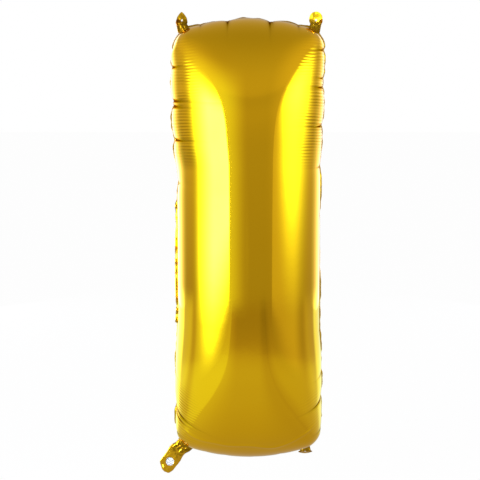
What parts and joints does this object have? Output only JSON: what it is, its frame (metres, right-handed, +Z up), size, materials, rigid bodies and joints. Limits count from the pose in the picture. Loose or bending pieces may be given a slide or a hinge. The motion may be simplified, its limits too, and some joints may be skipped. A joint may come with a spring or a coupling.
{
  "type": "foil number balloon",
  "caption": "Plain upright bar balloon of gold metallised film, blown up round, with hanging tabs at the corners and a side filling neck with a flat film valve.",
  "frame": {"origin": "half way between the holes of the two top tabs, in the seam plane", "axes": "+X to the right as seen from the front, the front faces -Y, +Z up along the bar"},
  "size_m": [0.3037, 0.256, 0.8411],
  "materials": {
    "gold_film": "polished",
    "valve_film": "gloss"
  },
  "bodies": {
    "envelope": {"front_panel": "gold_film", "rear_panel": "gold_film", "edge_weld": "gold_film", "valve_inner_front": "valve_film", "valve_inner_rear": "valve_film"},
    "top_left_tab": {"top_left_tab": "gold_film"},
    "top_right_tab": {"top_right_tab": "gold_film"},
    "bottom_right_tab": {"bottom_right_tab": "gold_film"},
    "neck": {"neck_front_film": "gold_film", "neck_rear_film": "gold_film", "valve_outer_front": "valve_film", "valve_outer_rear": "valve_film"}
  },
  "joints": [
    {"name": "top_left_fold", "type": "hinge", "parent": "envelope", "child": "top_left_tab", "pos_m": [-0.118, 0, -0.00631], "axis": [1, 0, 0], "range_deg": [-90, 90], "stiffness_Nm_per_rad": 0.00005},
    {"name": "top_right_fold", "type": "hinge", "parent": "envelope", "child": "top_right_tab", "pos_m": [0.118, 0, -0.00631], "axis": [1, 0, 0], "range_deg": [-90, 90], "stiffness_Nm_per_rad": 0.00005},
    {"name": "bottom_right_fold", "type": "hinge", "parent": "envelope", "child": "bottom_right_tab", "pos_m": [0.105, 0, -0.78117], "axis": [1, 0, 0], "range_deg": [-150, 30], "stiffness_Nm_per_rad": 0.00005},
    {"name": "neck_fold", "type": "hinge", "parent": "envelope", "child": "neck", "pos_m": [-0.11831, 0, -0.77142], "axis": [0.788, 0, -0.6157], "range_deg": [-85, 85], "stiffness_Nm_per_rad": 0.0005}
  ]
}
